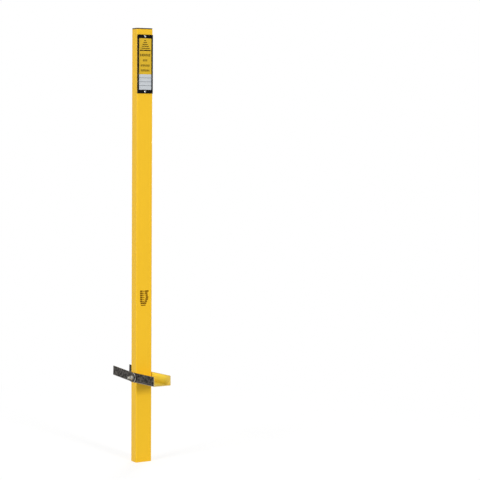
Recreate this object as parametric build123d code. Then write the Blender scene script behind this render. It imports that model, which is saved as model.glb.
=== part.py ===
from build123d import *
from math import cos, radians, sin
import os

# A ground marker post: a hollow rectangular tube with a push-in cap, a two-plate sign held in a
# riveted channel near its top, and two folding sheet-metal wings that anchor it when buried.
# Millimetres. +Z is up, the sign faces -Y, and the origin is the middle of the tube's foot.

# Post tube
post_width = 80.0               # along X, the face that carries the sign
post_depth = 50.0               # along Y
tube_length = 1996.0
tube_wall = 3.0
tube_corner_radius = 3.0
tube_inside_radius = 1.0

# Top cap
cap_thickness = 4.0
cap_edge_radius = 1.5
skirt_length = 22.0
skirt_wall = 2.0
skirt_gap = 1.0                 # from the skirt to the tube's inner wall, bridged by the ribs
skirt_corner_radius = 2.0
rib_width = 1.6
rib_pitch = 22.0
rib_lead_in = 4.0               # length of each rib's tapered lower end
rib_clearance = 0.05

# Sign channel
channel_width = 79.0
channel_height = 266.5
channel_top_drop = 26.0         # from the tube's top end down to the channel's top end
channel_back = 1.5
channel_slot = 1.7              # depth of the slot that the plates slide in
channel_lip = 1.2
channel_side_wall = 2.0
channel_lip_reach = 7.5         # from the channel's outer side to the lip's free edge
channel_edge_radius = 0.8
channel_lip_edge_radius = 0.4   # on both corners of each lip's free edge

# What sits in the channel
stop_height = 16.5
stop_thickness = 1.5
plate_thickness = 1.0
plate_side_clearance = 0.2
plate_end_clearance = 0.15
label_height = 70.0

# Blind rivets
rivet_diameter = 4.8
rivet_hole_clearance = 0.05
rivet_head_diameter = 9.5
rivet_head_height = 1.7
rivet_head_rim = 0.35
rivet_tail_diameter = 7.2
rivet_tail_length = 5.0
rivet_pin_diameter = 2.7
rivet_pin_clearance = 0.05
rivet_pin_sink = 0.6            # how far the broken pin lies below the head's crown
rivet_pin_head_diameter = 4.4
rivet_pin_head_length = 2.6

# Folding wings
pivot_height = 395.0
wing_reach = 200.0              # from the pivot to the free end
wing_height = 45.0
wing_sheet = 2.0
wing_bend_radius = 1.0          # inside the fold
wing_side_gap = 0.3             # between the tube, the two stacked flanges and the washers
wing_corner_radius = 3.0
wing_relief = 2.0               # notch that ends each fold
wing_rest_angle = 2.0           # degrees above level, where the web meets the tube
wing_stop_gap = 0.3
pivot_clearance = 0.075

# Anchor bolt, washers and nut
bolt_diameter = 12.0
bolt_length = 120.0
bolt_hole_clearance = 0.25
bolt_end_chamfer = 1.2
head_height = 7.5
nut_height = 10.8
hex_across_flats = 18.0
hex_chamfer = 1.3
hex_turn = 30.0                 # degrees, so that two flats lie level on the bolt's line
washer_diameter = 20.0
washer_thickness = 2.0
thread_clearance = 0.05

# Places worked out from the sizes above
front_face = -post_depth / 2
tube_inner_width = post_width - 2 * tube_wall
tube_inner_depth = post_depth - 2 * tube_wall
channel_thickness = channel_back + channel_slot + channel_lip
channel_base = tube_length - channel_top_drop - channel_height
slot_width = channel_width - 2 * channel_side_wall
plate_width = slot_width - 2 * plate_side_clearance
window_height = channel_height - 2 * stop_height
sign_height = window_height - label_height - 3 * plate_end_clearance
plate_seat = front_face - channel_back
rivet_grip = stop_thickness + channel_back + tube_wall
rivet_heights = {
    "lower": channel_base + stop_height / 2,
    "upper": channel_base + channel_height - stop_height / 2,
}
inner_flange = post_width / 2 + wing_side_gap
outer_flange = inner_flange + wing_sheet + wing_side_gap
washer_seat = outer_flange + wing_sheet + wing_side_gap
wing_inside_width = inner_flange + outer_flange
wing_shift = (outer_flange - inner_flange) / 2
web_top = wing_sheet - wing_height / 2
# The web's end stops on the tube's face when the wing has come down to its rest angle.
web_start = (
    post_depth / 2 + wing_stop_gap + web_top * sin(radians(wing_rest_angle))
) / cos(radians(wing_rest_angle))


def post_section():
    """Outline of the tube's outside, which the cap shares."""
    return RectangleRounded(post_width, post_depth, tube_corner_radius)


def post_tube():
    bore = RectangleRounded(tube_inner_width, tube_inner_depth, tube_inside_radius)
    tube = extrude(post_section() - bore, tube_length)
    rivet_hole = Cylinder(rivet_diameter / 2 + rivet_hole_clearance, 4 * tube_wall)
    for height in rivet_heights.values():
        tube -= Pos(0, front_face, height) * Rot(90, 0, 0) * rivet_hole
    bolt_hole = Cylinder(bolt_diameter / 2 + bolt_hole_clearance, 2 * post_width)
    return tube - Pos(0, 0, pivot_height) * Rot(0, 90, 0) * bolt_hole


def skirt_rib(reach):
    """One crush rib on a wall that faces +X at the given reach, tapered at its lower end."""
    face = reach + skirt_gap - rib_clearance
    root = reach - skirt_wall / 2
    outline = Polyline(
        (root, 0),
        (face, 0),
        (face, rib_lead_in - skirt_length),
        (reach, -skirt_length),
        (root, -skirt_length),
        close=True,
    )
    return extrude(Plane.XZ * make_face(outline), rib_width / 2, both=True)


def top_cap():
    plate = extrude(post_section(), cap_thickness)
    plate = fillet(plate.faces().sort_by(Axis.Z)[-1].edges(), cap_edge_radius)
    width = tube_inner_width - 2 * skirt_gap
    depth = tube_inner_depth - 2 * skirt_gap
    outside = RectangleRounded(width, depth, skirt_corner_radius)
    inside = Rectangle(width - 2 * skirt_wall, depth - 2 * skirt_wall)
    cap = plate + extrude(outside - inside, -skirt_length)
    long_side = skirt_rib(depth / 2)
    short_side = skirt_rib(width / 2)
    for turn in (90, 270):
        for step in (-1, 0, 1):
            cap += Rot(0, 0, turn) * Pos(0, step * rib_pitch, 0) * long_side
    for turn in (0, 180):
        for step in (-0.5, 0.5):
            cap += Rot(0, 0, turn) * Pos(0, step * rib_pitch, 0) * short_side
    return Pos(0, 0, tube_length) * cap


def sign_channel():
    """Extruded strip with a lip turned in along each side, riveted flat to the tube's front."""
    middle = front_face - channel_thickness / 2
    section = Pos(0, middle) * Rectangle(channel_width, channel_thickness)
    section = fillet(section.vertices().group_by(Axis.Y)[0], channel_edge_radius)
    section -= Pos(0, plate_seat - channel_slot / 2) * Rectangle(slot_width, channel_slot)
    mouth_width = channel_width - 2 * channel_lip_reach
    mouth = Rectangle(mouth_width, 2 * channel_lip)
    section -= Pos(0, front_face - channel_thickness) * mouth
    lip_ends = section.vertices().filter_by(lambda corner: abs(corner.X) < plate_width / 2)
    section = fillet(lip_ends, channel_lip_edge_radius)
    strip = Pos(0, 0, channel_base) * extrude(section, channel_height)
    hole = Cylinder(rivet_diameter / 2 + rivet_hole_clearance, 2 * channel_thickness)
    for height in rivet_heights.values():
        strip -= Pos(0, front_face, height) * Rot(90, 0, 0) * hole
    return strip


def slotted_in(height, thickness, base):
    """A flat piece that lies on the channel's back, under its lips."""
    block = Box(plate_width, thickness, height)
    return Pos(0, plate_seat - thickness / 2, base + height / 2) * block


def end_stop(which):
    height = rivet_heights[which]
    stop = slotted_in(stop_height, stop_thickness, height - stop_height / 2)
    hole = Cylinder(rivet_diameter / 2 + rivet_hole_clearance, 2 * channel_thickness)
    return stop - Pos(0, front_face, height) * Rot(90, 0, 0) * hole


def label_plate():
    base = channel_base + stop_height + plate_end_clearance
    return slotted_in(label_height, plate_thickness, base)


def sign_plate():
    base = channel_base + stop_height + label_height + 2 * plate_end_clearance
    return slotted_in(sign_height, plate_thickness, base)


def on_rivet_line(piece, which):
    """Turn a piece made along +Z to face forward, with its z = 0 on the end stop's surface."""
    seat = plate_seat - stop_thickness
    return Pos(0, seat, rivet_heights[which]) * Rot(90, 0, 0) * piece


def rivet_body():
    """A set blind rivet: low domed head, shank, and a tail that swelled behind the tube's wall."""
    bore = rivet_pin_diameter / 2 + rivet_pin_clearance
    head = rivet_head_diameter / 2
    shank = rivet_diameter / 2
    crown_rise = rivet_head_height - rivet_head_rim
    dome = (head**2 + crown_rise**2) / (2 * crown_rise)
    tail_end = -rivet_grip - rivet_tail_length
    outline = Polyline(
        (0, tail_end),
        (shank, tail_end),
        (rivet_tail_diameter / 2, -rivet_grip - rivet_tail_length / 2),
        (shank, -rivet_grip),
        (shank, 0),
        (head, 0),
        (head, rivet_head_height),
        (0, rivet_head_height),
        close=True,
    )
    body = revolve(Plane.XZ * make_face(outline), Axis.Z)
    ball = Pos(0, 0, rivet_head_height - dome) * Sphere(dome)
    below_head = Pos(0, 0, tail_end / 2) * Cylinder(head, -tail_end)
    return body & (ball + below_head) - Cylinder(bore, 4 * rivet_grip)


def rivet_pin():
    """What stays of the setting pin: a stub in the rivet's bore and the head that swelled the tail."""
    tail_end = -rivet_grip - rivet_tail_length
    stub = rivet_pin_diameter / 2
    head = rivet_pin_head_diameter / 2
    outline = Polyline(
        (0, rivet_head_height - rivet_pin_sink),
        (stub, rivet_head_height - rivet_pin_sink),
        (stub, tail_end),
        (head, tail_end),
        (head, tail_end - rivet_pin_head_length / 2),
        (stub, tail_end - rivet_pin_head_length),
        (0, tail_end - rivet_pin_head_length),
        close=True,
    )
    return revolve(Plane.XZ * make_face(outline), Axis.Z)


def wing():
    """A folded channel with its web below, reaching towards -Y from lugs round the pivot."""
    outside_width = wing_inside_width + 2 * wing_sheet
    half_height = wing_height / 2
    outside = Rectangle(outside_width, wing_height)
    outside = fillet(outside.vertices().group_by(Axis.Y)[0], wing_bend_radius + wing_sheet)
    hollow = Pos(0, wing_sheet) * Rectangle(wing_inside_width, wing_height)
    hollow = fillet(hollow.vertices().group_by(Axis.Y)[0], wing_bend_radius)
    trough = extrude(Plane.XZ * (outside - hollow), wing_reach - web_start)
    ends = trough.edges().filter_by(Axis.X).group_by(Axis.Y)[0].group_by(Axis.Z)[-1]
    body = Pos(0, -web_start, 0) * fillet(ends, wing_corner_radius)
    fold_line = wing_bend_radius + wing_sheet - half_height
    lug = Circle(half_height)
    lug += Pos((wing_relief - web_start) / 2, 0) * Rectangle(web_start - wing_relief, wing_height)
    lug += Pos(-(web_start + wing_relief) / 2, (half_height + fold_line) / 2) * Rectangle(
        web_start + wing_relief, half_height - fold_line
    )
    lug -= Circle(bolt_diameter / 2 + pivot_clearance)
    lug = extrude(Plane.YZ * lug, wing_sheet)
    body += Pos(wing_inside_width / 2, 0, 0) * lug
    body += Pos(-wing_inside_width / 2 - wing_sheet, 0, 0) * lug
    return body


def front_wing():
    return Pos(wing_shift, 0, pivot_height) * Rot(-wing_rest_angle, 0, 0) * wing()


def rear_wing():
    """The same folding, turned about the post, so that its flanges stack with the front wing's."""
    return Rot(0, 0, 180) * front_wing()


def hexagon(height, both_ends):
    """A hexagonal block from z = 0 up, its corners turned off at the top or at both ends."""
    outline = RegularPolygon(hex_across_flats / 2, 6, major_radius=False, rotation=hex_turn)
    block = extrude(outline, height)
    corner = hex_across_flats / 2 / cos(radians(30))
    turned = Pos(0, 0, height / 2) * Cylinder(corner, height)
    rims = turned.edges().filter_by(GeomType.CIRCLE).sort_by(Axis.Z)
    turned = chamfer(rims if both_ends else rims[-1], hex_chamfer * 0.6, hex_chamfer)
    return block & turned


def across_post(piece):
    """Turn a piece made along +Z so that it points to +X on the pivot's line."""
    return Pos(0, 0, pivot_height) * Rot(0, 90, 0) * piece


def anchor_bolt():
    seat = washer_seat + washer_thickness
    shank = Pos(0, 0, seat - bolt_length / 2) * Cylinder(bolt_diameter / 2, bolt_length)
    shank = chamfer(shank.edges().sort_by(Axis.Z)[0], bolt_end_chamfer)
    return across_post(shank + Pos(0, 0, seat) * hexagon(head_height, False))


def washer(base):
    hole = Circle(bolt_diameter / 2 + bolt_hole_clearance)
    ring = extrude(Circle(washer_diameter / 2) - hole, washer_thickness)
    return across_post(Pos(0, 0, base) * ring)


def anchor_nut():
    nut = hexagon(nut_height, True)
    nut -= Cylinder(bolt_diameter / 2 + thread_clearance, 4 * nut_height)
    return across_post(Pos(0, 0, -washer_seat - washer_thickness - nut_height) * nut)


pieces = {
    "post_tube": post_tube(),
    "top_cap": top_cap(),
    "sign_holder": sign_channel(),
    "sign_plate": sign_plate(),
    "label_plate": label_plate(),
    "front_wing": front_wing(),
    "rear_wing": rear_wing(),
    "anchor_bolt": anchor_bolt(),
    "head_washer": washer(washer_seat),
    "nut_washer": washer(-washer_seat - washer_thickness),
    "anchor_nut": anchor_nut(),
}
for which in rivet_heights:
    pieces[which + "_end_stop"] = end_stop(which)
    pieces[which + "_rivet"] = on_rivet_line(rivet_body(), which)
    pieces[which + "_rivet_pin"] = on_rivet_line(rivet_pin(), which)

os.makedirs("parts", exist_ok=True)
for name, piece in pieces.items():
    export_step(piece, f"parts/{name}.step")
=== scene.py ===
import math

import bmesh
import bpy
from mathutils import Matrix, Vector


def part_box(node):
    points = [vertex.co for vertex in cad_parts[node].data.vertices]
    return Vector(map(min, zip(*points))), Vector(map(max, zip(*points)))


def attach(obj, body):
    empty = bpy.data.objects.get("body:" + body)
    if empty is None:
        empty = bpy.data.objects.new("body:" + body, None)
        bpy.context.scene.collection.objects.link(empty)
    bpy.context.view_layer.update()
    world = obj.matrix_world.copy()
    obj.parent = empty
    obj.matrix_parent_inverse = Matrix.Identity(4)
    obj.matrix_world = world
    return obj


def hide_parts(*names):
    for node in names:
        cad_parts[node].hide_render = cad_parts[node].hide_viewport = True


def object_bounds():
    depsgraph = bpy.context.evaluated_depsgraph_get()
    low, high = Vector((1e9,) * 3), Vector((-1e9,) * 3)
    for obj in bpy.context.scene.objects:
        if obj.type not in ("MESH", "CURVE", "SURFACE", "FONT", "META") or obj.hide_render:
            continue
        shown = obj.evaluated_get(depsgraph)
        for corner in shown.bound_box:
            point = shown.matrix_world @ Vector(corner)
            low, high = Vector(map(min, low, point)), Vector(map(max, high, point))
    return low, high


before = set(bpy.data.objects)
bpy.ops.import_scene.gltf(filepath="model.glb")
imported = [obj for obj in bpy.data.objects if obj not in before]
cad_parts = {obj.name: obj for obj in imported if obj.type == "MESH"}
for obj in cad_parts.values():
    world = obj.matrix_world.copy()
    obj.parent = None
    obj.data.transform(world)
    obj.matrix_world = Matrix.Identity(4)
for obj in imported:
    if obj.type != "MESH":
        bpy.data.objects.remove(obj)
cadLow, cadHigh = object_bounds()
mm = 0.001
print("frame loaded:", len(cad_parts), "nodes")


# Small helpers for node trees

def paint(red, green, blue):
    # screen values from 0 to 255, turned into linear light
    def linear(value):
        value /= 255
        return value / 12.92 if value <= 0.04045 else ((value + 0.055) / 1.055) ** 2.4
    return linear(red), linear(green), linear(blue), 1.0


def feed(tree, socket, value):
    if isinstance(value, bpy.types.NodeSocket):
        tree.links.new(value, socket)
    elif value is not None:
        socket.default_value = value


def place(tree, kind, inputs=None, **settings):
    node = tree.nodes.new(kind)
    for name, value in settings.items():
        setattr(node, name, value)
    for name, value in (inputs or {}).items():
        feed(tree, node.inputs[name], value)
    return node


def calc(tree, operation, first, second=None, third=None, clamp=False):
    node = place(tree, "ShaderNodeMath", operation=operation, use_clamp=clamp)
    for socket, value in zip(node.inputs, (first, second, third)):
        feed(tree, socket, value)
    return node.outputs[0]


def vectorCalc(tree, operation, first, second=None):
    node = place(tree, "ShaderNodeVectorMath", operation=operation)
    feed(tree, node.inputs[0], first)
    feed(tree, node.inputs["Scale"] if operation == "SCALE" else node.inputs[1], second)
    return node.outputs["Value" if operation == "DOT_PRODUCT" else "Vector"]


# where a mix node has its factor, its two inputs and its output
mixSockets = {"RGBA": (0, 6, 7, 2), "FLOAT": (0, 2, 3, 0)}


def mix(tree, kind, *values):
    node = place(tree, "ShaderNodeMix", data_type=kind)
    *inputs, output = mixSockets[kind]
    for index, value in zip(inputs, values):
        feed(tree, node.inputs[index], value)
    return node.outputs[output]


def mixColor(tree, factor, first, second):
    return mix(tree, "RGBA", factor, first, second)


def mixValue(tree, factor, first, second):
    return mix(tree, "FLOAT", factor, first, second)


noiseSwing = 4.0    # the texture mostly stays within a quarter of its middle, which is 0.5


def noise(tree, vector, scale, detail=3.0):
    # noise that swings about zero, roughly from -1 to 1
    node = place(tree, "ShaderNodeTexNoise", {"Vector": vector, "Scale": scale, "Detail": detail})
    return calc(tree, "MULTIPLY_ADD", node.outputs[0], noiseSwing, -noiseSwing / 2)


def ramp(tree, value, low, high):
    node = place(tree, "ShaderNodeMapRange", interpolation_type="SMOOTHSTEP")
    for name, given in (("Value", value), ("From Min", low), ("From Max", high)):
        feed(tree, node.inputs[name], given)
    return node.outputs[0]


def parts(tree, vector):
    return place(tree, "ShaderNodeSeparateXYZ", {"Vector": vector}).outputs


def makeGroup(name, inputs, outputs):
    group = bpy.data.node_groups.new(name, "ShaderNodeTree")
    for label, kind, value in inputs:
        socket = group.interface.new_socket(
            name=label, in_out="INPUT", socket_type="NodeSocket" + kind)
        if value is not None:
            socket.default_value = value
    for label, kind in outputs:
        group.interface.new_socket(name=label, in_out="OUTPUT", socket_type="NodeSocket" + kind)
    return group, place(group, "NodeGroupInput").outputs, place(group, "NodeGroupOutput").inputs


def useGroup(tree, group, inputs):
    return place(tree, "ShaderNodeGroup", inputs, node_tree=group).outputs


# Effects that several materials share

finishNoise = {"lineDetail": 4.0, "cloudDetail": 2.0, "smoothest": 0.02}


def surfaceFinishGroup():
    # drawn lines, fine grain and soft clouding, as colour, roughness and height
    group, given, out = makeGroup("surfaceFinish", [
        ("Vector", "Vector", None),
        ("Stretch", "Vector", (100.0, 100.0, 100.0)),
        ("Grain Scale", "Float", 1000.0),
        ("Cloud Scale", "Float", 5.0),
        ("Color", "Color", (0.8, 0.8, 0.8, 1.0)),
        ("Line Tone", "Float", 0.0),
        ("Grain Tone", "Float", 0.0),
        ("Cloud Tone", "Float", 0.0),
        ("Roughness", "Float", 0.5),
        ("Roughness Spread", "Float", 0.0),
        ("Line Height", "Float", 0.0),
        ("Grain Height", "Float", 0.0),
    ], [("Color", "Color"), ("Roughness", "Float"), ("Height", "Float")])
    stretched = vectorCalc(group, "MULTIPLY", given["Vector"], given["Stretch"])
    lines = noise(group, stretched, 1.0, finishNoise["lineDetail"])
    grain = noise(group, given["Vector"], given["Grain Scale"])
    clouds = noise(group, given["Vector"], given["Cloud Scale"], finishNoise["cloudDetail"])
    tone = calc(group, "MULTIPLY_ADD", lines, given["Line Tone"], 1.0)
    tone = calc(group, "MULTIPLY_ADD", grain, given["Grain Tone"], tone)
    tone = calc(group, "MULTIPLY_ADD", clouds, given["Cloud Tone"], tone)
    feed(group, out["Color"], vectorCalc(group, "SCALE", given["Color"], tone))
    swing = calc(group, "ADD", calc(group, "ADD", lines, clouds), grain)
    rough = calc(group, "MULTIPLY_ADD", swing, given["Roughness Spread"], given["Roughness"])
    feed(group, out["Roughness"], calc(group, "MAXIMUM", rough, finishNoise["smoothest"]))
    lineHeight = calc(group, "MULTIPLY", lines, given["Line Height"])
    feed(group, out["Height"], calc(group, "MULTIPLY_ADD", grain, given["Grain Height"], lineHeight))
    return group


# the largest of the normal's three shares where the painted edge highlight starts, and where it is full
edgeHighlightRange = (0.999, 0.93)


def edgeHighlightGroup():
    # how far a face has turned away from the six straight directions: its rounded edges, which take a
    # painted highlight
    group, given, out = makeGroup("edgeHighlight", [
        ("Vector", "Vector", None),
        ("Normal", "Vector", None),
        ("Patchiness", "Float", 0.3),
        ("Patch Scale", "Float", 40.0),
    ], [("Mask", "Float")])
    sides = parts(group, vectorCalc(group, "ABSOLUTE", given["Normal"]))
    straight = calc(group, "MAXIMUM", calc(group, "MAXIMUM", sides[0], sides[1]), sides[2])
    turned = ramp(group, straight, *edgeHighlightRange)
    patches = noise(group, given["Vector"], given["Patch Scale"])
    patches = calc(group, "MULTIPLY_ADD", patches, given["Patchiness"], 1.0)
    feed(group, out["Mask"], calc(group, "MULTIPLY", turned, patches, clamp=True))
    return group


sawMarks = {
    "facing": (0.9, 0.97),     # share of the normal along the cut's axis, from unmarked to fully marked
    "bandSpacing": 0.3,        # roughly what the wave texture has between its diagonal bands
    "wave": {"Scale": 1.0, "Distortion": 1.5, "Detail": 2.0, "Detail Scale": 1.2},
}


def sawnEndGroup():
    # faces across a cut, with the tooth marks that the saw left on them
    group, given, out = makeGroup("sawnEnd", [
        ("Vector", "Vector", None),
        ("Normal", "Vector", None),
        ("Cut Axis", "Vector", (0.0, 0.0, 1.0)),
        ("Tooth Pitch", "Float", 0.001),
        ("Tooth Height", "Float", 0.0),
    ], [("Mask", "Float"), ("Height", "Float")])
    along = vectorCalc(group, "DOT_PRODUCT", given["Normal"], given["Cut Axis"])
    mask = ramp(group, calc(group, "ABSOLUTE", along), *sawMarks["facing"])
    scale = calc(group, "DIVIDE", sawMarks["bandSpacing"], given["Tooth Pitch"])
    scaled = vectorCalc(group, "SCALE", given["Vector"], scale)
    wave = place(group, "ShaderNodeTexWave", {"Vector": scaled, **sawMarks["wave"]},
                 bands_direction="DIAGONAL")
    height = calc(group, "MULTIPLY", wave.outputs[1], given["Tooth Height"])
    feed(group, out["Mask"], mask)
    feed(group, out["Height"], calc(group, "MULTIPLY", height, mask))
    return group


hairlineRuns = {
    "axis": (0.4, 0.5, 0.77),
    "runs": ((0.5, (1.0, 14.0, 3.0)), (-1.1, (12.0, 2.0, 1.0))),    # turn round the axis, squeeze
    "detail": 1.0,
    "softness": 0.05,
}


def hairlineGroup():
    # sparse hairline scratches that run in two directions
    group, given, out = makeGroup("hairlines", [
        ("Vector", "Vector", None),
        ("Scale", "Float", 60.0),
        ("Rarity", "Float", 0.62),
    ], [("Mask", "Float")])
    total = None
    full = calc(group, "ADD", given["Rarity"], hairlineRuns["softness"])
    for turn, squeeze in hairlineRuns["runs"]:
        turned = place(group, "ShaderNodeVectorRotate", {
            "Vector": given["Vector"], "Axis": hairlineRuns["axis"], "Angle": turn})
        squeezed = vectorCalc(group, "MULTIPLY", turned.outputs[0], squeeze)
        field = place(group, "ShaderNodeTexNoise", {
            "Vector": squeezed, "Scale": given["Scale"], "Detail": hairlineRuns["detail"]})
        thin = ramp(group, field.outputs[0], given["Rarity"], full)
        total = thin if total is None else calc(group, "MAXIMUM", total, thin)
    feed(group, out["Mask"], total)
    return group


crystalSizes = ((1.0, 0.6), (0.45, 0.4))    # share of the full size, weight in the shade


def spangleGroup():
    # the crystals of a zinc coat: each has its own shade, and they overlap at two sizes
    group, given, out = makeGroup("spangle", [
        ("Vector", "Vector", None),
        ("Crystal Size", "Float", 0.006),
    ], [("Shade", "Float")])
    total = None
    for share, weight in crystalSizes:
        size = calc(group, "MULTIPLY", given["Crystal Size"], share)
        cells = place(group, "ShaderNodeTexVoronoi", {
            "Vector": given["Vector"], "Scale": calc(group, "DIVIDE", 1.0, size)})
        pick = parts(group, cells.outputs["Color"])[0]
        shade = calc(group, "MULTIPLY_ADD", pick, 2.0 * weight, -weight)
        total = shade if total is None else calc(group, "ADD", total, shade)
    feed(group, out["Shade"], total)
    return group


# limits for shares of the normal, unless a note says otherwise
# of two values, the mask starts at the first and is full at the second
sheetFaceLimits = {
    "flangeStart": -0.05 * mm,     # distance from a flange's inner face, negative into the flange
    "inside": 0.5,
    "cutEdge": 0.35,
    "endFace": 0.7,
    "shadedUpward": (0.9, 0.98),
    "bendHighlight": (0.1, 0.5),
    "lugFace": 0.7,
    "nearEnd": (0.6, 1.02),        # shares of the reach
    "nearTop": (0.8, 0.96),        # shares of the half height
}


def sheetFacesGroup():
    # a folded sheet's faces in its own directions: its inside, its cut edges and its bends, as masks for its
    # colours and for painted highlights and shade
    group, given, out = makeGroup("sheetFaces", [
        ("Vector", "Vector", None),
        ("Normal", "Vector", None),
        ("Side", "Vector", (1.0, 1.0, 1.0)),
        ("Pivot", "Vector", (0.0, 0.0, 0.0)),
        ("Rest Angle", "Float", 0.0),
        ("Half Width", "Float", 0.04),
        ("Half Height", "Float", 0.02),
        ("Reach", "Float", 0.2),
        ("Rim Highlight Width", "Float", 0.001),
    ], [("Inside", "Float"), ("Edge", "Float"), ("Shaded Edge", "Float"), ("Bend Highlight", "Float"),
        ("Lug Rim Highlight", "Float"), ("Far Inside Shade", "Float"), ("Along", "Vector")])
    limits = sheetFaceLimits
    fromPost = vectorCalc(group, "MULTIPLY", given["Vector"], given["Side"])
    turned = []
    for vector in (vectorCalc(group, "SUBTRACT", fromPost, given["Pivot"]),
                   vectorCalc(group, "MULTIPLY", given["Normal"], given["Side"])):
        turned.append(place(group, "ShaderNodeVectorRotate", {
            "Vector": vector, "Angle": given["Rest Angle"]}, rotation_type="X_AXIS").outputs[0])
    spot, normal = parts(group, turned[0]), parts(group, turned[1])
    outward = calc(group, "MULTIPLY", normal[0], calc(group, "SIGN", spot[0]))
    inward = calc(group, "MULTIPLY", outward, -1.0)
    within = calc(group, "SUBTRACT", given["Half Width"], calc(group, "ABSOLUTE", spot[0]))
    inFlange = calc(group, "LESS_THAN", within, limits["flangeStart"])
    overWeb = calc(group, "SUBTRACT", 1.0, inFlange)
    upward = calc(group, "MULTIPLY", normal[2], overWeb)
    inside = calc(group, "GREATER_THAN", calc(group, "MAXIMUM", inward, upward), limits["inside"])
    sideways = calc(group, "ABSOLUTE", normal[0])
    acrossFlange = calc(group, "MULTIPLY", calc(group, "LESS_THAN", sideways, limits["cutEdge"]), inFlange)
    endFace = calc(group, "GREATER_THAN", calc(group, "ABSOLUTE", normal[1]), limits["endFace"])
    edge = calc(group, "MAXIMUM", acrossFlange, endFace)
    feed(group, out["Inside"], inside)
    feed(group, out["Edge"], edge)
    pastPivot = calc(group, "GREATER_THAN", spot[1], 0.0)
    innerLug = calc(group, "MULTIPLY", pastPivot, calc(group, "LESS_THAN", spot[0], 0.0))
    # upward cut edges and the inner lug's edges, which take painted shade
    shadedEdges = calc(group, "MAXIMUM", ramp(group, normal[2], *limits["shadedUpward"]), innerLug)
    feed(group, out["Shaded Edge"], calc(group, "MULTIPLY", edge, shadedEdges))
    # the lower bends, which take a painted highlight
    downward = calc(group, "MULTIPLY", normal[2], -1.0)
    feed(group, out["Bend Highlight"], ramp(group, calc(group, "MINIMUM", sideways, downward), *limits["bendHighlight"]))
    # a band round the outer lug face's rim, which takes a painted highlight
    squares = [calc(group, "MULTIPLY", spot[axis], spot[axis]) for axis in (1, 2)]
    fromPivot = calc(group, "SQRT", calc(group, "ADD", *squares))
    rimStart = calc(group, "SUBTRACT", given["Half Height"], given["Rim Highlight Width"])
    onLug = calc(group, "MULTIPLY", pastPivot, calc(group, "GREATER_THAN", outward, limits["lugFace"]))
    onRim = calc(group, "GREATER_THAN", fromPivot, rimStart)
    feed(group, out["Lug Rim Highlight"], calc(group, "MULTIPLY", onLug, onRim))
    # the inside's far end and top edge, which take painted shade
    towardEnd = calc(group, "DIVIDE", calc(group, "MULTIPLY", spot[1], -1.0), given["Reach"])
    nearEnd = ramp(group, towardEnd, *limits["nearEnd"])
    nearTop = ramp(group, calc(group, "DIVIDE", spot[2], given["Half Height"]), *limits["nearTop"])
    feed(group, out["Far Inside Shade"], calc(group, "MULTIPLY", inside, calc(group, "MAXIMUM", nearEnd, nearTop)))
    feed(group, out["Along"], turned[0])
    return group


surfaceFinish = surfaceFinishGroup()
edgeHighlight = edgeHighlightGroup()
sawnEnd = sawnEndGroup()
hairlines = hairlineGroup()
spangle = spangleGroup()
sheetFaces = sheetFacesGroup()


# Materials

def startMaterial(name, look):
    material = bpy.data.materials.new(name)
    material.use_nodes = True
    tree = material.node_tree
    shader = tree.nodes["Principled BSDF"]
    for label, value in look["shader"].items():
        shader.inputs[label].default_value = value
    return material, tree, shader, place(tree, "ShaderNodeTexCoord").outputs


def finishOf(tree, spot, look, vector=None):
    return useGroup(tree, surfaceFinish, {"Vector": vector or spot["Object"], **look["finish"]})


def bumpInto(tree, shader, height):
    bump = place(tree, "ShaderNodeBump", {"Height": height, "Distance": 1.0, "Strength": 1.0})
    feed(tree, shader.inputs["Normal"], bump.outputs[0])


def jointAndShadeMask(tree, spot, look):
    # the dark line where a rim sits on what carries it, partly a joint and partly painted contact shade, and
    # the painted soft shade just below
    below = calc(tree, "SUBTRACT", look["jointHeight"], parts(tree, spot["Object"])[2])
    line = ramp(tree, below, look["jointAndShadeLine"] * (1 + look["jointSoftness"]),
                look["jointAndShadeLine"] * (1 - look["jointSoftness"]))
    shade = calc(tree, "MULTIPLY", ramp(tree, below, look["jointShade"], 0.0), look["jointShadeStrength"])
    return calc(tree, "MAXIMUM", line, shade)


def dressed(name, look):
    # grain and lines, a painted highlight on rounded edges, hairlines and cut ends, each as strong as the
    # look says
    material, tree, shader, spot = startMaterial(name, look)
    base = finishOf(tree, spot, look)
    edgeLight = useGroup(tree, edgeHighlight, {"Vector": spot["Object"], "Normal": spot["Normal"]})["Mask"]
    scratches = useGroup(tree, hairlines, {"Vector": spot["Object"], **look["hairlines"]})["Mask"]
    # painted highlight on the rounded edges, in patches
    color = mixColor(tree, calc(tree, "MULTIPLY", edgeLight, look["edgeHighlightStrength"]), base["Color"], look["edgeHighlightColor"])
    rough = calc(tree, "MULTIPLY_ADD", scratches, look["scratchRoughness"], base["Roughness"])
    height = calc(tree, "MULTIPLY_ADD", scratches, look["scratchDepth"], base["Height"])
    if "sawn" in look:
        cut = useGroup(tree, sawnEnd, {"Vector": spot["Object"], "Normal": spot["Normal"], **look["sawn"]})
        cutMask = calc(tree, "MULTIPLY", cut["Mask"], look["cutStrength"])
        color = mixColor(tree, cutMask, color, look["cutColor"])
        rough = mixValue(tree, cut["Mask"], rough, look["cutRoughness"])
        height = calc(tree, "ADD", height, cut["Height"])
    if "jointHeight" in look:
        # the joint line under the cap with its painted contact shade
        color = mixColor(tree, jointAndShadeMask(tree, spot, look), color, look["jointAndShadeColor"])
    feed(tree, shader.inputs["Base Color"], color)
    feed(tree, shader.inputs["Roughness"], rough)
    bumpInto(tree, shader, height)
    return material


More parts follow.
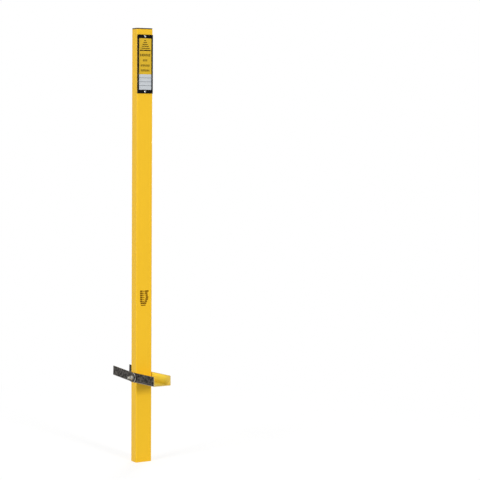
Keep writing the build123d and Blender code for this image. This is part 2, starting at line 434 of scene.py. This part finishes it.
postLook = {
    "shader": {"Specular IOR Level": 0.18},
    "finish": {
        "Color": paint(240, 190, 36),
        "Stretch": (420.0, 420.0, 1.6),      # lines that the extrusion die left along the tube
        "Grain Scale": 900.0,
        "Cloud Scale": 3.0,
        "Line Tone": 0.012,
        "Grain Tone": 0.006,
        "Cloud Tone": 0.012,
        "Roughness": 0.36,
        "Roughness Spread": 0.02,
        "Line Height": 0.004 * mm,
        "Grain Height": 0.0015 * mm,
    },
    "hairlines": {"Scale": 22.0, "Rarity": 0.66},
    "scratchRoughness": 0.07,
    "scratchDepth": -0.002 * mm,
    "edgeHighlightColor": paint(244, 196, 20),
    "edgeHighlightStrength": 0.35,
    "sawn": {"Cut Axis": (0.0, 0.0, 1.0), "Tooth Pitch": 1.6 * mm, "Tooth Height": 0.03 * mm},
    "cutColor": paint(236, 192, 40),
    "cutStrength": 0.6,
    "cutRoughness": 0.62,
    "jointHeight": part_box("post_tube")[1].z,
    "jointAndShadeLine": 0.7 * mm,               # dark line under the cap's rim, partly a joint and partly painted contact shade
    "jointSoftness": 0.15,               # of the line's lower edge, as a share of the line
    "jointShade": 3.0 * mm,              # how far down the rim's soft shade reaches
    "jointShadeStrength": 0.35,
    "jointAndShadeColor": paint(44, 28, 8),
}

capLook = {
    "shader": {"Specular IOR Level": 0.12},
    "finish": {
        "Color": paint(38, 28, 16),
        "Stretch": (60.0, 60.0, 60.0),
        "Grain Scale": 2600.0,               # fine moulded texture
        "Cloud Scale": 18.0,
        "Line Tone": 0.03,
        "Grain Tone": 0.05,
        "Cloud Tone": 0.05,
        "Roughness": 0.5,
        "Roughness Spread": 0.03,
        "Line Height": 0.0,
        "Grain Height": 0.006 * mm,
    },
    "hairlines": {"Scale": 60.0, "Rarity": 0.64},
    "scratchRoughness": -0.08,
    "scratchDepth": -0.003 * mm,
    "edgeHighlightColor": paint(58, 46, 32),
    "edgeHighlightStrength": 0.4,
}

channelLook = {
    "shader": {"Specular IOR Level": 0.05},
    "finish": {
        "Color": paint(11, 11, 12),
        "Stretch": (900.0, 900.0, 3.0),
        "Grain Scale": 1400.0,
        "Cloud Scale": 12.0,
        "Line Tone": 0.08,
        "Grain Tone": 0.05,
        "Cloud Tone": 0.06,
        "Roughness": 0.3,
        "Roughness Spread": 0.03,
        "Line Height": 0.004 * mm,
        "Grain Height": 0.001 * mm,
    },
    "hairlines": {"Scale": 70.0, "Rarity": 0.64},
    "scratchRoughness": 0.1,
    "scratchDepth": -0.002 * mm,
    "edgeHighlightColor": paint(60, 60, 62),
    "edgeHighlightStrength": 0.5,
    "sawn": {"Cut Axis": (0.0, 0.0, 1.0), "Tooth Pitch": 0.9 * mm, "Tooth Height": 0.02 * mm},
    "cutColor": paint(34, 34, 36),
    "cutStrength": 0.6,
    "cutRoughness": 0.55,
}

stopLook = {
    "shader": {"Specular IOR Level": 0.05},
    "finish": {
        "Color": paint(12, 12, 13),
        "Stretch": (3.0, 500.0, 500.0),
        "Grain Scale": 2200.0,
        "Cloud Scale": 20.0,
        "Line Tone": 0.06,
        "Grain Tone": 0.06,
        "Cloud Tone": 0.05,
        "Roughness": 0.4,
        "Roughness Spread": 0.03,
        "Line Height": 0.002 * mm,
        "Grain Height": 0.003 * mm,
    },
    "hairlines": {"Scale": 80.0, "Rarity": 0.65},
    "scratchRoughness": -0.06,
    "scratchDepth": -0.002 * mm,
    "edgeHighlightColor": paint(60, 60, 62),
    "edgeHighlightStrength": 0.4,
}

signLook = {
    "shader": {"Specular IOR Level": 0.3},
    "finish": {
        "Color": paint(212, 172, 24),
        "Stretch": (90.0, 90.0, 90.0),
        "Grain Scale": 3200.0,
        "Cloud Scale": 14.0,
        "Line Tone": 0.01,
        "Grain Tone": 0.02,
        "Cloud Tone": 0.02,
        "Roughness": 0.42,
        "Roughness Spread": 0.02,
        "Line Height": 0.001 * mm,
        "Grain Height": 0.0015 * mm,
    },
    "hairlines": {"Scale": 80.0, "Rarity": 0.66},
    "scratchRoughness": 0.06,
    "scratchDepth": -0.001 * mm,
    "edgeHighlightColor": paint(230, 190, 60),
    "edgeHighlightStrength": 0.3,
}

labelLook = {
    "shader": {"Specular IOR Level": 0.3},
    "finish": {
        "Color": paint(193, 198, 203),
        "Stretch": (70.0, 70.0, 70.0),
        "Grain Scale": 3600.0,
        "Cloud Scale": 16.0,
        "Line Tone": 0.01,
        "Grain Tone": 0.025,
        "Cloud Tone": 0.02,
        "Roughness": 0.55,
        "Roughness Spread": 0.03,
        "Line Height": 0.001 * mm,
        "Grain Height": 0.003 * mm,
    },
    "hairlines": {"Scale": 80.0, "Rarity": 0.66},
    "scratchRoughness": -0.06,
    "scratchDepth": -0.001 * mm,
    "edgeHighlightColor": paint(205, 210, 216),
    "edgeHighlightStrength": 0.3,
}

inkLook = {
    "shader": {"Specular IOR Level": 0.05},
    "finish": {
        "Color": paint(24, 14, 10),
        "Stretch": (200.0, 200.0, 200.0),
        "Grain Scale": 4200.0,               # the screen-printed film's fine weave
        "Cloud Scale": 40.0,
        "Line Tone": 0.04,
        "Grain Tone": 0.1,
        "Cloud Tone": 0.08,
        "Roughness": 0.36,
        "Roughness Spread": 0.04,
        "Line Height": 0.0005 * mm,
        "Grain Height": 0.001 * mm,
    },
    "hairlines": {"Scale": 90.0, "Rarity": 0.68},
    "scratchRoughness": 0.1,
    "scratchDepth": 0.0,
    "edgeHighlightColor": paint(60, 44, 30),
    "edgeHighlightStrength": 0.2,
}

ruleLook = {**inkLook, "finish": {**inkLook["finish"], "Color": paint(36, 42, 50)}}
blockLook = {**inkLook, "finish": {**inkLook["finish"], "Color": paint(118, 80, 4)}}

zincLook = {
    "shader": {"Metallic": 0.6},             # the plating's dull white takes the rest
    "finish": {
        "Color": paint(186, 186, 180),
        "Stretch": (900.0, 260.0, 260.0),    # turned lines round the bolt's axis
        "Grain Scale": 1500.0,
        "Cloud Scale": 120.0,
        "Line Tone": 0.05,
        "Grain Tone": 0.08,
        "Cloud Tone": 0.1,
        "Roughness": 0.27,
        "Roughness Spread": 0.04,
        "Line Height": 0.003 * mm,
        "Grain Height": 0.003 * mm,
    },
    "hairlines": {"Scale": 160.0, "Rarity": 0.62},
    "scratchRoughness": 0.12,
    "scratchDepth": -0.004 * mm,
    "edgeHighlightColor": paint(214, 214, 210),
    "edgeHighlightStrength": 0.5,
    "sawn": {"Cut Axis": (1.0, 0.0, 0.0), "Tooth Pitch": 1.4 * mm, "Tooth Height": 0.002 * mm},
    "cutColor": paint(52, 50, 47),           # end faces, darker than the turned and rolled sides
    "cutStrength": 0.95,
    "cutRoughness": 0.4,
}

alloyLook = {
    "shader": {"Metallic": 1.0},
    "finish": {
        "Color": paint(160, 162, 160),
        "Stretch": (300.0, 300.0, 300.0),
        "Grain Scale": 2200.0,
        "Cloud Scale": 200.0,
        "Line Tone": 0.03,
        "Grain Tone": 0.05,
        "Cloud Tone": 0.06,
        "Roughness": 0.26,
        "Roughness Spread": 0.03,
        "Line Height": 0.002 * mm,
        "Grain Height": 0.002 * mm,
    },
    "hairlines": {"Scale": 220.0, "Rarity": 0.62},
    "scratchRoughness": 0.12,
    "scratchDepth": -0.003 * mm,
    "edgeHighlightColor": paint(196, 196, 194),
    "edgeHighlightStrength": 0.4,
}

pinLook = {
    **alloyLook,
    "finish": {**alloyLook["finish"], "Color": paint(70, 70, 72), "Grain Height": 0.02 * mm,
               "Roughness": 0.45},
}

wingLook = {
    "shader": {"Specular Tint": (0.6, 0.6, 0.6, 1.0)},
    "finish": {
        "Color": paint(72, 69, 66),
        "Stretch": (300.0, 5.0, 300.0),      # rolled along the sheet's length
        "Grain Scale": 700.0,
        "Cloud Scale": 24.0,
        "Line Tone": 0.08,
        "Grain Tone": 0.12,
        "Cloud Tone": 0.12,
        "Roughness": 0.2,
        "Roughness Spread": 0.03,
        "Line Height": 0.002 * mm,
        "Grain Height": 0.003 * mm,
    },
    "crystalSize": 7.5 * mm,
    "crystalTone": 1.5,
    "darkestCrystal": 0.15,
    "crystalRoughness": 0.06,
    "hairlines": {"Scale": 50.0, "Rarity": 0.67},
    "scratchRoughness": 0.08,
    "scratchDepth": -0.001 * mm,
    "rimHighlightWidth": 1.2 * mm,                # of the painted highlight band round each lug's rim
    "rimHighlightColor": paint(226, 222, 218),
    # painted shade on the upward cut edges and the inner lug's edges
    "shadedEdgeColor": paint(150, 130, 76),
    "bendHighlightColor": paint(206, 202, 196),
    "edgeRoughness": 0.34,
    "edgeMetallic": 0.25,
    "sheet": 2.0 * mm,
    "height": 45.0 * mm,
    "reach": 200.0 * mm,
    "restAngle": 2.0,
}

# the front wing's inside colour is a painted reflection of the yellow tube, with painted shade towards its
# far end and top
frontInsideLook = {
    "insideSheetAndReflectionColor": paint(250, 230, 92),
    "farInsideShadeColor": paint(226, 198, 94),
    "insideRoughness": 0.4,
    "insideMetallic": 0.0,
    # bare cut metal with a painted yellow reflection of the tube
    "cutEdgeAndReflectionColor": paint(214, 196, 142),
}

# the rear wing's inside is the plain dark sheet, with painted shade towards its far end and top
rearInsideLook = {
    "insideSheetAndReflectionColor": paint(72, 68, 62),
    "farInsideShadeColor": paint(64, 60, 55),
    "insideRoughness": 0.24,
    "insideMetallic": 1.0,
    "cutEdgeAndReflectionColor": paint(244, 240, 236),
}


def wingMaterial(name, look, node, side):
    # dark spangled outside; an inside that the look sets, a painted reflection of the tube on the front wing
    # and plain sheet on the rear; bare metal where the sheet was cut; painted highlights on the lower bends
    # and round each lug; painted shade on the upward cut edges and the inside's far parts
    material, tree, shader, spot = startMaterial(name, look)
    low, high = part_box(node)
    middle = (low.x + high.x) / 2
    halfWidth = (high.x - low.x) / 2 - look["sheet"]
    faces = useGroup(tree, sheetFaces, {
        "Vector": spot["Object"],
        "Normal": spot["Normal"],
        "Side": (side, side, 1.0),
        "Pivot": (middle * side, 0.0, pivotHeight),
        "Rest Angle": math.radians(look["restAngle"]),
        "Half Width": halfWidth,
        "Half Height": look["height"] / 2,
        "Reach": look["reach"],
        "Rim Highlight Width": look["rimHighlightWidth"],
    })
    base = finishOf(tree, spot, look, faces["Along"])
    crystals = useGroup(tree, spangle, {"Vector": faces["Along"], "Crystal Size": look["crystalSize"]})
    scratches = useGroup(tree, hairlines, {"Vector": faces["Along"], **look["hairlines"]})["Mask"]
    tone = calc(tree, "MULTIPLY_ADD", crystals["Shade"], look["crystalTone"], 1.0)
    tone = calc(tree, "MAXIMUM", tone, look["darkestCrystal"])
    color = vectorCalc(tree, "SCALE", base["Color"], tone)
    # painted highlight along the lower bends
    color = mixColor(tree, faces["Bend Highlight"], color, look["bendHighlightColor"])
    # front wing: painted reflection of the tube on the inside; rear wing: the plain sheet
    color = mixColor(tree, faces["Inside"], color, look["insideSheetAndReflectionColor"])
    # painted shade on the inside towards the free end and the top edge
    color = mixColor(tree, faces["Far Inside Shade"], color, look["farInsideShadeColor"])
    # painted highlight band round each lug's rim
    color = mixColor(tree, faces["Lug Rim Highlight"], color, look["rimHighlightColor"])
    # bare metal on the cut edges, with a painted yellow reflection on the front wing
    color = mixColor(tree, faces["Edge"], color, look["cutEdgeAndReflectionColor"])
    # painted shade on the upward cut edges and the inner lug's edges
    color = mixColor(tree, faces["Shaded Edge"], color, look["shadedEdgeColor"])
    rough = calc(tree, "MULTIPLY_ADD", crystals["Shade"], look["crystalRoughness"], base["Roughness"])
    rough = mixValue(tree, faces["Inside"], rough, look["insideRoughness"])
    rough = mixValue(tree, faces["Edge"], rough, look["edgeRoughness"])
    rough = calc(tree, "MULTIPLY_ADD", scratches, look["scratchRoughness"], rough)
    metallic = mixValue(tree, faces["Inside"], 1.0, look["insideMetallic"])
    metallic = mixValue(tree, faces["Edge"], metallic, look["edgeMetallic"])
    feed(tree, shader.inputs["Base Color"], color)
    feed(tree, shader.inputs["Roughness"], rough)
    feed(tree, shader.inputs["Metallic"], metallic)
    bumpInto(tree, shader, calc(tree, "MULTIPLY_ADD", scratches, look["scratchDepth"], base["Height"]))
    return material


boltLow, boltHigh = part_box("anchor_bolt")
pivotHeight = (boltLow.z + boltHigh.z) / 2
zinc = dressed("zinc", zincLook)
nodeMaterials = {
    "post_tube": dressed("postYellow", postLook),
    "top_cap": dressed("capBrown", capLook),
    "sign_holder": dressed("channelBlack", channelLook),
    "sign_plate": dressed("signYellow", signLook),
    "label_plate": dressed("labelGrey", labelLook),
    "front_wing": wingMaterial("frontWingSheet", {**wingLook, **frontInsideLook}, "front_wing", 1.0),
    "rear_wing": wingMaterial("rearWingSheet", {**wingLook, **rearInsideLook}, "rear_wing", -1.0),
    "head_washer": zinc,
    "nut_washer": zinc,
    "anchor_nut": zinc,
    "anchor_bolt": zinc,
}
stopBlack = dressed("stopBlack", stopLook)
alloy = dressed("rivetAlloy", alloyLook)
pinSteel = dressed("rivetPin", pinLook)
for end in ("upper", "lower"):
    nodeMaterials[end + "_end_stop"] = stopBlack
    nodeMaterials[end + "_rivet"] = alloy
    nodeMaterials[end + "_rivet_pin"] = pinSteel
for name, material in nodeMaterials.items():
    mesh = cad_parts[name].data
    mesh.materials.clear()
    mesh.materials.append(material)
print("materials:", len(bpy.data.materials))


# Mesh pieces

def addPiece(name, work, material, body):
    bmesh.ops.recalc_face_normals(work, faces=work.faces)
    mesh = bpy.data.meshes.new(name)
    work.to_mesh(mesh)
    work.free()
    mesh.materials.append(material)
    piece = bpy.data.objects.new(name, mesh)
    bpy.context.scene.collection.objects.link(piece)
    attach(piece, body)
    return piece


def roundedOutline(corners, radius, steps=6):
    # the corners' polygon with each corner swept by an arc
    points = []
    count = len(corners)
    for index in range(count):
        here = Vector(corners[index])
        back = (Vector(corners[index - 1]) - here).normalized()
        ahead = (Vector(corners[(index + 1) % count]) - here).normalized()
        half = back.angle(ahead) / 2
        centre = here + (back + ahead).normalized() * (radius / math.sin(half))
        start = here + back * (radius / math.tan(half)) - centre
        end = here + ahead * (radius / math.tan(half)) - centre
        sweep = math.atan2(start.x * end.y - start.y * end.x, start.dot(end))
        for step in range(steps + 1):
            angle = sweep * step / steps
            points.append(centre + Vector((
                start.x * math.cos(angle) - start.y * math.sin(angle),
                start.x * math.sin(angle) + start.y * math.cos(angle))))
    return points


film = {"thickness": 0.06 * mm, "sink": 0.02 * mm}


def addBar(work, left, right, low, high, radius, surface):
    # a rounded bar of print on a face that looks to -Y, sunk a hair into what carries it
    outline = roundedOutline([(left, low), (right, low), (right, high), (left, high)], radius)
    front, back = [
        [work.verts.new((point.x, surface - height, point.y)) for point in outline]
        for height in (film["thickness"], -film["sink"])]
    work.faces.new(front)
    work.faces.new(back)
    for index in range(len(outline)):
        after = (index + 1) % len(outline)
        work.faces.new((front[index], front[after], back[after], back[index]))


# sizes in metres, drops measured from the sign plate's top edge
signPrint = {
    "stackDrop": 8.4 * mm,
    "stackHeight": 48.5 * mm,
    "stackWidths": (9.0 * mm, 18.0 * mm, 27.5 * mm, 36.5 * mm, 46.0 * mm, 55.5 * mm),
    "stackBarHeight": 3.2 * mm,
    "stackBaseHeight": 4.8 * mm,
    "rows": [
        # width, height, drop to the row's middle
        (51.0 * mm, 11.4 * mm, 75.9 * mm),
        (21.0 * mm, 9.6 * mm, 99.8 * mm),
        (43.5 * mm, 9.8 * mm, 123.0 * mm),
        (43.5 * mm, 9.8 * mm, 145.6 * mm),
    ],
    "blockWidths": (3.0 * mm, 2.1 * mm, 3.6 * mm, 2.5 * mm),   # taken in turn along a row
    "blockGap": 2.6 * mm,
    "blockRadius": 0.7 * mm,
}


def addBlockRow(work, width, middle, height, surface, look):
    # short blocks side by side, stretched a little so that the row keeps its width
    widths, total = [], 0.0
    while total < width:
        widths.append(look["blockWidths"][len(widths) % len(look["blockWidths"])])
        total = sum(widths) + look["blockGap"] * (len(widths) - 1)
    stretch = width / total
    left = -width / 2
    for block in widths:
        addBar(work, left, left + block * stretch, middle - height / 2, middle + height / 2,
               look["blockRadius"], surface)
        left += (block + look["blockGap"]) * stretch


def printSign():
    # a stack of plain bars that widens downwards, above four rows of short blocks
    low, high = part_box("sign_plate")
    surface, top, look = low.y, high.z, signPrint
    work = bmesh.new()
    last = len(look["stackWidths"]) - 1
    pitch = (look["stackHeight"] - look["stackBaseHeight"]) / last
    for step, width in enumerate(look["stackWidths"]):
        thick = look["stackBaseHeight"] if step == last else look["stackBarHeight"]
        upper = top - look["stackDrop"] - step * pitch
        addBar(work, -width / 2, width / 2, upper - thick, upper, look["blockRadius"], surface)
    addPiece("sign-stack", work, ink, "post")

    work = bmesh.new()
    for width, height, drop in look["rows"]:
        addBlockRow(work, width, top - drop, height, surface, look)
    addPiece("sign-rows", work, ink, "post")


labelRules = {
    "count": 3,
    "firstDrop": 15.9 * mm,    # from the plate's top edge
    "pitch": 17.6 * mm,
    "thickness": 1.3 * mm,
    "endGap": 0.4 * mm,
    "radius": 0.1 * mm,
}


def printLabel():
    low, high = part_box("label_plate")
    look = labelRules
    work = bmesh.new()
    for row in range(look["count"]):
        middle = high.z - look["firstDrop"] - row * look["pitch"]
        addBar(work, low.x + look["endGap"], high.x - look["endGap"],
               middle - look["thickness"] / 2, middle + look["thickness"] / 2,
               look["radius"], low.y)
    addPiece("label-rules", work, dressed("ruleInk", ruleLook), "post")


infoBlock = {
    "top": 800.0 * mm,
    "pitch": 9.3 * mm,
    "barHeight": 7.4 * mm,
    "thinHeight": 4.2 * mm,    # of the middle bars and the tail bar
    "leftBar": (-21.5 * mm, -8.0 * mm),
    "middleBar": (-6.5 * mm, 1.5 * mm),
    "rightBars": [(3.0 * mm, 23.0 * mm), (4.0 * mm, 17.0 * mm), (7.0 * mm, 18.5 * mm),
                  (8.0 * mm, 21.5 * mm), (5.0 * mm, 20.0 * mm), (3.0 * mm, 15.5 * mm)],
    "footBar": (-19.0 * mm, 11.0 * mm),
    "tailBar": (-17.0 * mm, 8.0 * mm),
    "radius": 1.0 * mm,
}


def printInfoBlock():
    # a plain block of bars where the tube's front carries its print
    look = infoBlock
    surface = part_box("post_tube")[0].y
    tall, thin = look["barHeight"], look["thinHeight"]
    rows = [[(look["leftBar"], tall), (look["middleBar"], thin), (rightBar, tall)]
            for rightBar in look["rightBars"]]
    rows += [[(look["footBar"], tall)], [(look["tailBar"], thin)]]
    work = bmesh.new()
    for row, bars in enumerate(rows):
        middle = look["top"] - row * look["pitch"] - tall / 2
        for (left, right), height in bars:
            addBar(work, left, right, middle - height / 2, middle + height / 2,
                   look["radius"], surface)
    addPiece("info-block", work, dressed("blockInk", blockLook), "post")


ink = dressed("printInk", inkLook)
printSign()
printLabel()
printInfoBlock()
print("print laid on the sign, the label and the tube")

bolt = {
    "diameter": 12.0 * mm,
    "acrossFlats": 18.0 * mm,
    "headHeight": 7.5 * mm,
    "headChamfer": 1.3 * mm,
    "headChamferDrop": 0.78 * mm,
    "chamferSteps": 5,
    "pitch": 1.75 * mm,
    "threadLength": 30.0 * mm,
    "threadDepth": 1.05 * mm,
    "crestShare": 0.125,        # flats on the crest and in the root, as shares of the pitch
    "rootShare": 0.25,
    "endChamfer": 1.2 * mm,
    "segments": 48,
    "levels": (0.0, 0.0625, 0.125, 0.28, 0.4375, 0.56, 0.6875, 0.84),    # rings within one pitch
    "weldDistance": 0.0005 * mm,
    "smoothAngle": 28.0,
}


def hexRadius(angle, acrossFlats):
    # flats face up and down, where the angle is 0 and half a turn
    sixth = math.pi / 3
    return acrossFlats / 2 / math.cos((angle + sixth / 2) % sixth - sixth / 2)


def threadRadius(look, phase):
    # the crest's flat first, then a straight flank, the root's flat and a flank up again
    crest = look["diameter"] / 2
    depth = look["threadDepth"]
    flank = (1.0 - look["crestShare"] - look["rootShare"]) / 2
    phase %= 1.0
    if phase <= look["crestShare"]:
        return crest
    if phase < look["crestShare"] + flank:
        return crest - depth * (phase - look["crestShare"]) / flank
    if phase <= 1.0 - flank:
        return crest - depth
    return crest - depth * (1.0 - phase) / flank


def boltRings(look, tip, headTop):
    # rings of (place along X, radius) for each angle, from the head's face to the thread's tip
    radius = look["diameter"] / 2
    angles = [2 * math.pi * step / look["segments"] for step in range(look["segments"])]
    hexagon = [hexRadius(angle, look["acrossFlats"]) for angle in angles]
    corner = look["acrossFlats"] / 2 / math.cos(math.pi / 6)
    rings = []
    for step in range(look["chamferSteps"] + 1):
        share = step / look["chamferSteps"]
        limit = corner - look["headChamfer"] * (1 - share)
        rings.append([(headTop - look["headChamferDrop"] * share, min(limit, reach)) for reach in hexagon])
    seat = headTop - look["headHeight"]
    threadEnd = tip + look["threadLength"]
    rings.append([(seat, reach) for reach in hexagon])
    rings.append([(seat, radius)] * len(angles))
    rings.append([(threadEnd, radius)] * len(angles))
    turns = math.ceil(look["threadLength"] / look["pitch"]) + 1
    for turn in range(turns, -1, -1):
        for level in reversed(look["levels"]):
            ring = []
            for angle in angles:
                lead = angle / (2 * math.pi)
                along = tip + (turn + level - lead) * look["pitch"]
                along = max(tip, min(threadEnd, along))
                limit = radius - look["endChamfer"] + (along - tip)
                phase = (along - tip) / look["pitch"] + lead
                ring.append((along, min(limit, threadRadius(look, phase))))
            rings.append(ring)
    return angles, rings


def smoothByAngle(work, degrees):
    for face in work.faces:
        face.smooth = True
    for edge in work.edges:
        if len(edge.link_faces) == 2 and edge.calc_face_angle(0.0) > math.radians(degrees):
            edge.smooth = False


def makeBolt():
    # the anchor bolt again, with its real thread
    angles, rings = boltRings(bolt, boltLow.x, boltHigh.x)
    work = bmesh.new()
    verts = []
    for ring in rings:
        verts.append([
            work.verts.new((along, reach * math.sin(angle), pivotHeight + reach * math.cos(angle)))
            for angle, (along, reach) in zip(angles, ring)])
    count = len(angles)
    for first, second in zip(verts, verts[1:]):
        for index in range(count):
            after = (index + 1) % count
            work.faces.new((first[index], first[after], second[after], second[index]))
    work.faces.new(verts[0])
    work.faces.new(verts[-1])
    bmesh.ops.remove_doubles(work, verts=work.verts, dist=bolt["weldDistance"])
    bmesh.ops.dissolve_degenerate(work, edges=work.edges, dist=bolt["weldDistance"])
    smoothByAngle(work, bolt["smoothAngle"])
    piece = addPiece("threaded-bolt", work, zinc, "post")
    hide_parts("anchor_bolt")


makeBolt()
print("bolt threaded")


# Floor, light and camera

studio = {
    "floorSize": 24.0,
    "floorGlow": 0.7,          # the part of the floor's white that doesn't depend on the lamps
    "floorShade": 0.42,        # the part that does, where the camera sees it
    "floorBounce": 0.75,       # the floor's white as the object takes it
    "fadeRange": (0.6, 2.2),   # metres from the post over which the floor fades to plain white
    "worldLight": 0.42,
}

# where each lamp stands as seen from the post, in degrees and metres
# its level is the brightness that a white face turned to it would take from it
lamps = {
    "key": {"azimuth": 3.0, "elevation": 15.3, "distance": 24.0, "size": 4.0, "level": 0.39},
    "side": {"azimuth": -72.0, "elevation": 15.0, "distance": 24.0, "size": 8.9, "level": 0.49},
    "rear": {"azimuth": 138.0, "elevation": 9.0, "distance": 24.0, "size": 9.0, "level": 0.5},
}


def seenDirectly(tree):
    path = place(tree, "ShaderNodeLightPath").outputs
    seen = calc(tree, "MAXIMUM", path["Is Camera Ray"], path["Is Glossy Ray"])
    return calc(tree, "MAXIMUM", seen, path["Is Transmission Ray"])


def makeFloor():
    half = studio["floorSize"] / 2
    mesh = bpy.data.meshes.new("floor")
    corners = [(-half, -half, 0.0), (half, -half, 0.0), (half, half, 0.0), (-half, half, 0.0)]
    mesh.from_pydata(corners, [], [range(len(corners))])
    floor = bpy.data.objects.new("floor", mesh)
    bpy.context.scene.collection.objects.link(floor)
    material = bpy.data.materials.new("floorPale")
    material.use_nodes = True
    tree = material.node_tree
    tree.nodes.clear()
    seen = seenDirectly(tree)
    albedo = mixValue(tree, seen, studio["floorBounce"], studio["floorShade"])
    grey = place(tree, "ShaderNodeCombineColor", {"Red": albedo, "Green": albedo, "Blue": albedo})
    diffuse = place(tree, "ShaderNodeBsdfDiffuse", {"Color": grey.outputs[0]})
    glow = place(tree, "ShaderNodeEmission", {"Strength": calc(tree, "MULTIPLY", seen, studio["floorGlow"])})
    both = place(tree, "ShaderNodeAddShader")
    feed(tree, both.inputs[0], diffuse.outputs[0])
    feed(tree, both.inputs[1], glow.outputs[0])
    spot = place(tree, "ShaderNodeTexCoord").outputs["Object"]
    away = calc(tree, "SQRT", vectorCalc(tree, "DOT_PRODUCT", spot, spot))
    fade = calc(tree, "MULTIPLY", ramp(tree, away, *studio["fadeRange"]), seen)
    plainWhite = place(tree, "ShaderNodeEmission", {"Strength": 1.0})
    mixed = place(tree, "ShaderNodeMixShader", {"Fac": fade})
    feed(tree, mixed.inputs[1], both.outputs[0])
    feed(tree, mixed.inputs[2], plainWhite.outputs[0])
    output = place(tree, "ShaderNodeOutputMaterial")
    feed(tree, output.inputs["Surface"], mixed.outputs[0])
    mesh.materials.append(material)


def makeWorld():
    world = bpy.data.worlds.new("studio")
    bpy.context.scene.world = world
    world.use_nodes = True
    tree = world.node_tree
    tree.nodes.clear()
    light = place(tree, "ShaderNodeBackground", {"Strength": studio["worldLight"]})
    white = place(tree, "ShaderNodeBackground", {"Strength": 1.0})
    for node in (light, white):
        node.inputs["Color"].default_value = (1.0, 1.0, 1.0, 1.0)
    mixed = place(tree, "ShaderNodeMixShader", {"Fac": seenDirectly(tree)})
    feed(tree, mixed.inputs[1], light.outputs[0])
    feed(tree, mixed.inputs[2], white.outputs[0])
    output = place(tree, "ShaderNodeOutputWorld")
    feed(tree, output.inputs["Surface"], mixed.outputs[0])


def makeLamp(name, look):
    azimuth, elevation = math.radians(look["azimuth"]), math.radians(look["elevation"])
    aim = Vector((0.0, 0.0, cadHigh.z / 2))
    back = Vector((math.sin(azimuth) * math.cos(elevation),
                   -math.cos(azimuth) * math.cos(elevation), math.sin(elevation)))
    lamp = bpy.data.lights.new(name, "AREA")
    lamp.shape = "SQUARE"
    lamp.size = look["size"]
    lamp.energy = look["level"] * (math.pi * look["distance"]) ** 2
    holder = bpy.data.objects.new(name, lamp)
    holder.location = aim + back * look["distance"]
    holder.rotation_mode = "QUATERNION"
    holder.rotation_quaternion = (-back).to_track_quat("-Z", "Y")
    bpy.context.scene.collection.objects.link(holder)


view = {
    "lens": 120.0,
    "sensor": 36.0,
    "azimuth": -27.91,         # degrees round the post, as the camera stands
    "distance": 7.368,         # metres from the post's axis
    "height": 1.573,
    "yaw": 31.432,             # degrees that it looks to the right of +Y
    "pitch": -4.189,
    "roll": 0.423,
    "farthest": 100.0,
}


def makeCamera():
    camera = bpy.data.cameras.new("camera")
    camera.lens = view["lens"]
    camera.sensor_width = view["sensor"]
    camera.clip_end = view["farthest"]
    holder = bpy.data.objects.new("camera", camera)
    azimuth = math.radians(view["azimuth"])
    turn = (
        Matrix.Rotation(-math.radians(view["yaw"]), 4, "Z")
        @ Matrix.Rotation(math.radians(90.0 + view["pitch"]), 4, "X")
        @ Matrix.Rotation(math.radians(view["roll"]), 4, "Z"))
    stand = Vector((
        view["distance"] * math.sin(azimuth), -view["distance"] * math.cos(azimuth), view["height"]))
    holder.matrix_world = Matrix.Translation(stand) @ turn
    bpy.context.scene.collection.objects.link(holder)
    bpy.context.scene.camera = holder


makeFloor()
makeWorld()
for name, look in lamps.items():
    makeLamp(name, look)
makeCamera()
bpy.context.scene.view_settings.view_transform = "Standard"
print("studio ready")
